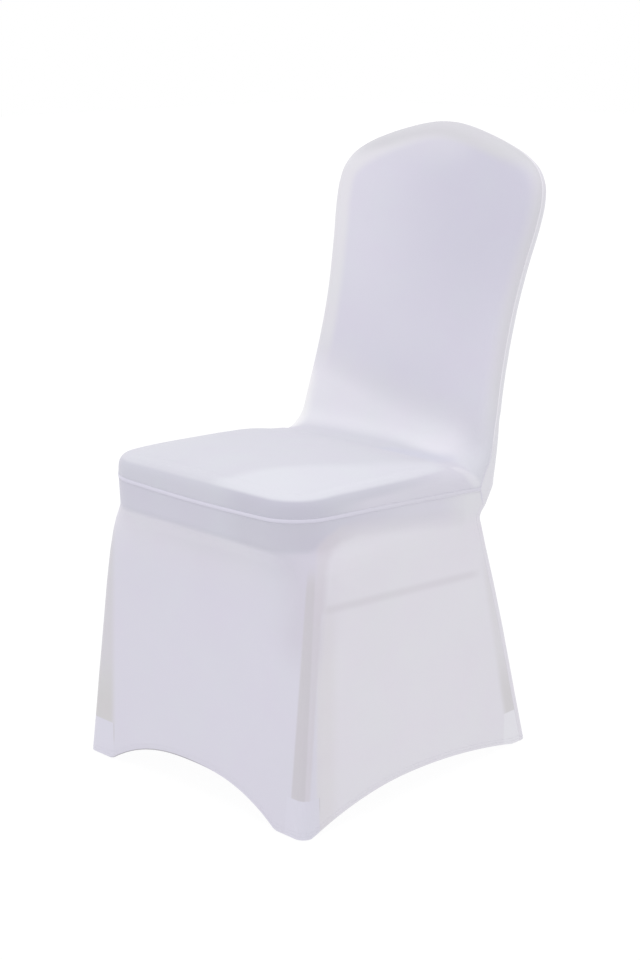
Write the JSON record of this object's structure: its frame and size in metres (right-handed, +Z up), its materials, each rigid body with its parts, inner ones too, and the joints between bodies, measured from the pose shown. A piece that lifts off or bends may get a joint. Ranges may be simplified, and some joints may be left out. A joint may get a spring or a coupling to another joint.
{
  "type": "fitted chair cover",
  "caption": "Fitted cover of white stretch cloth for a banquet chair: tight over the back and seat, then down to the floor in a flared skirt with an arched hem and foot pockets.",
  "frame": {"origin": "the point on the underside of the cloth below the middle of the crown, where the top of the chair's back carries the cover", "axes": "+Z up; +Y to the back of the chair; +X to the left of somebody who sits on it; the floor is at z = -0.9475"},
  "size_m": [0.4768, 0.5712, 0.9504],
  "materials": {
    "cover_cloth": "fine stretch knit, soft sheen",
    "pocket_cloth": "doubled stretch knit"
  },
  "bodies": {
    "root": {"front_panel": "cover_cloth", "back_panel": "cover_cloth", "skirt": "cover_cloth", "foot_pocket_front_left": "pocket_cloth", "foot_pocket_front_right": "pocket_cloth", "foot_pocket_rear_left": "pocket_cloth", "foot_pocket_rear_right": "pocket_cloth"}
  },
  "joints": []
}
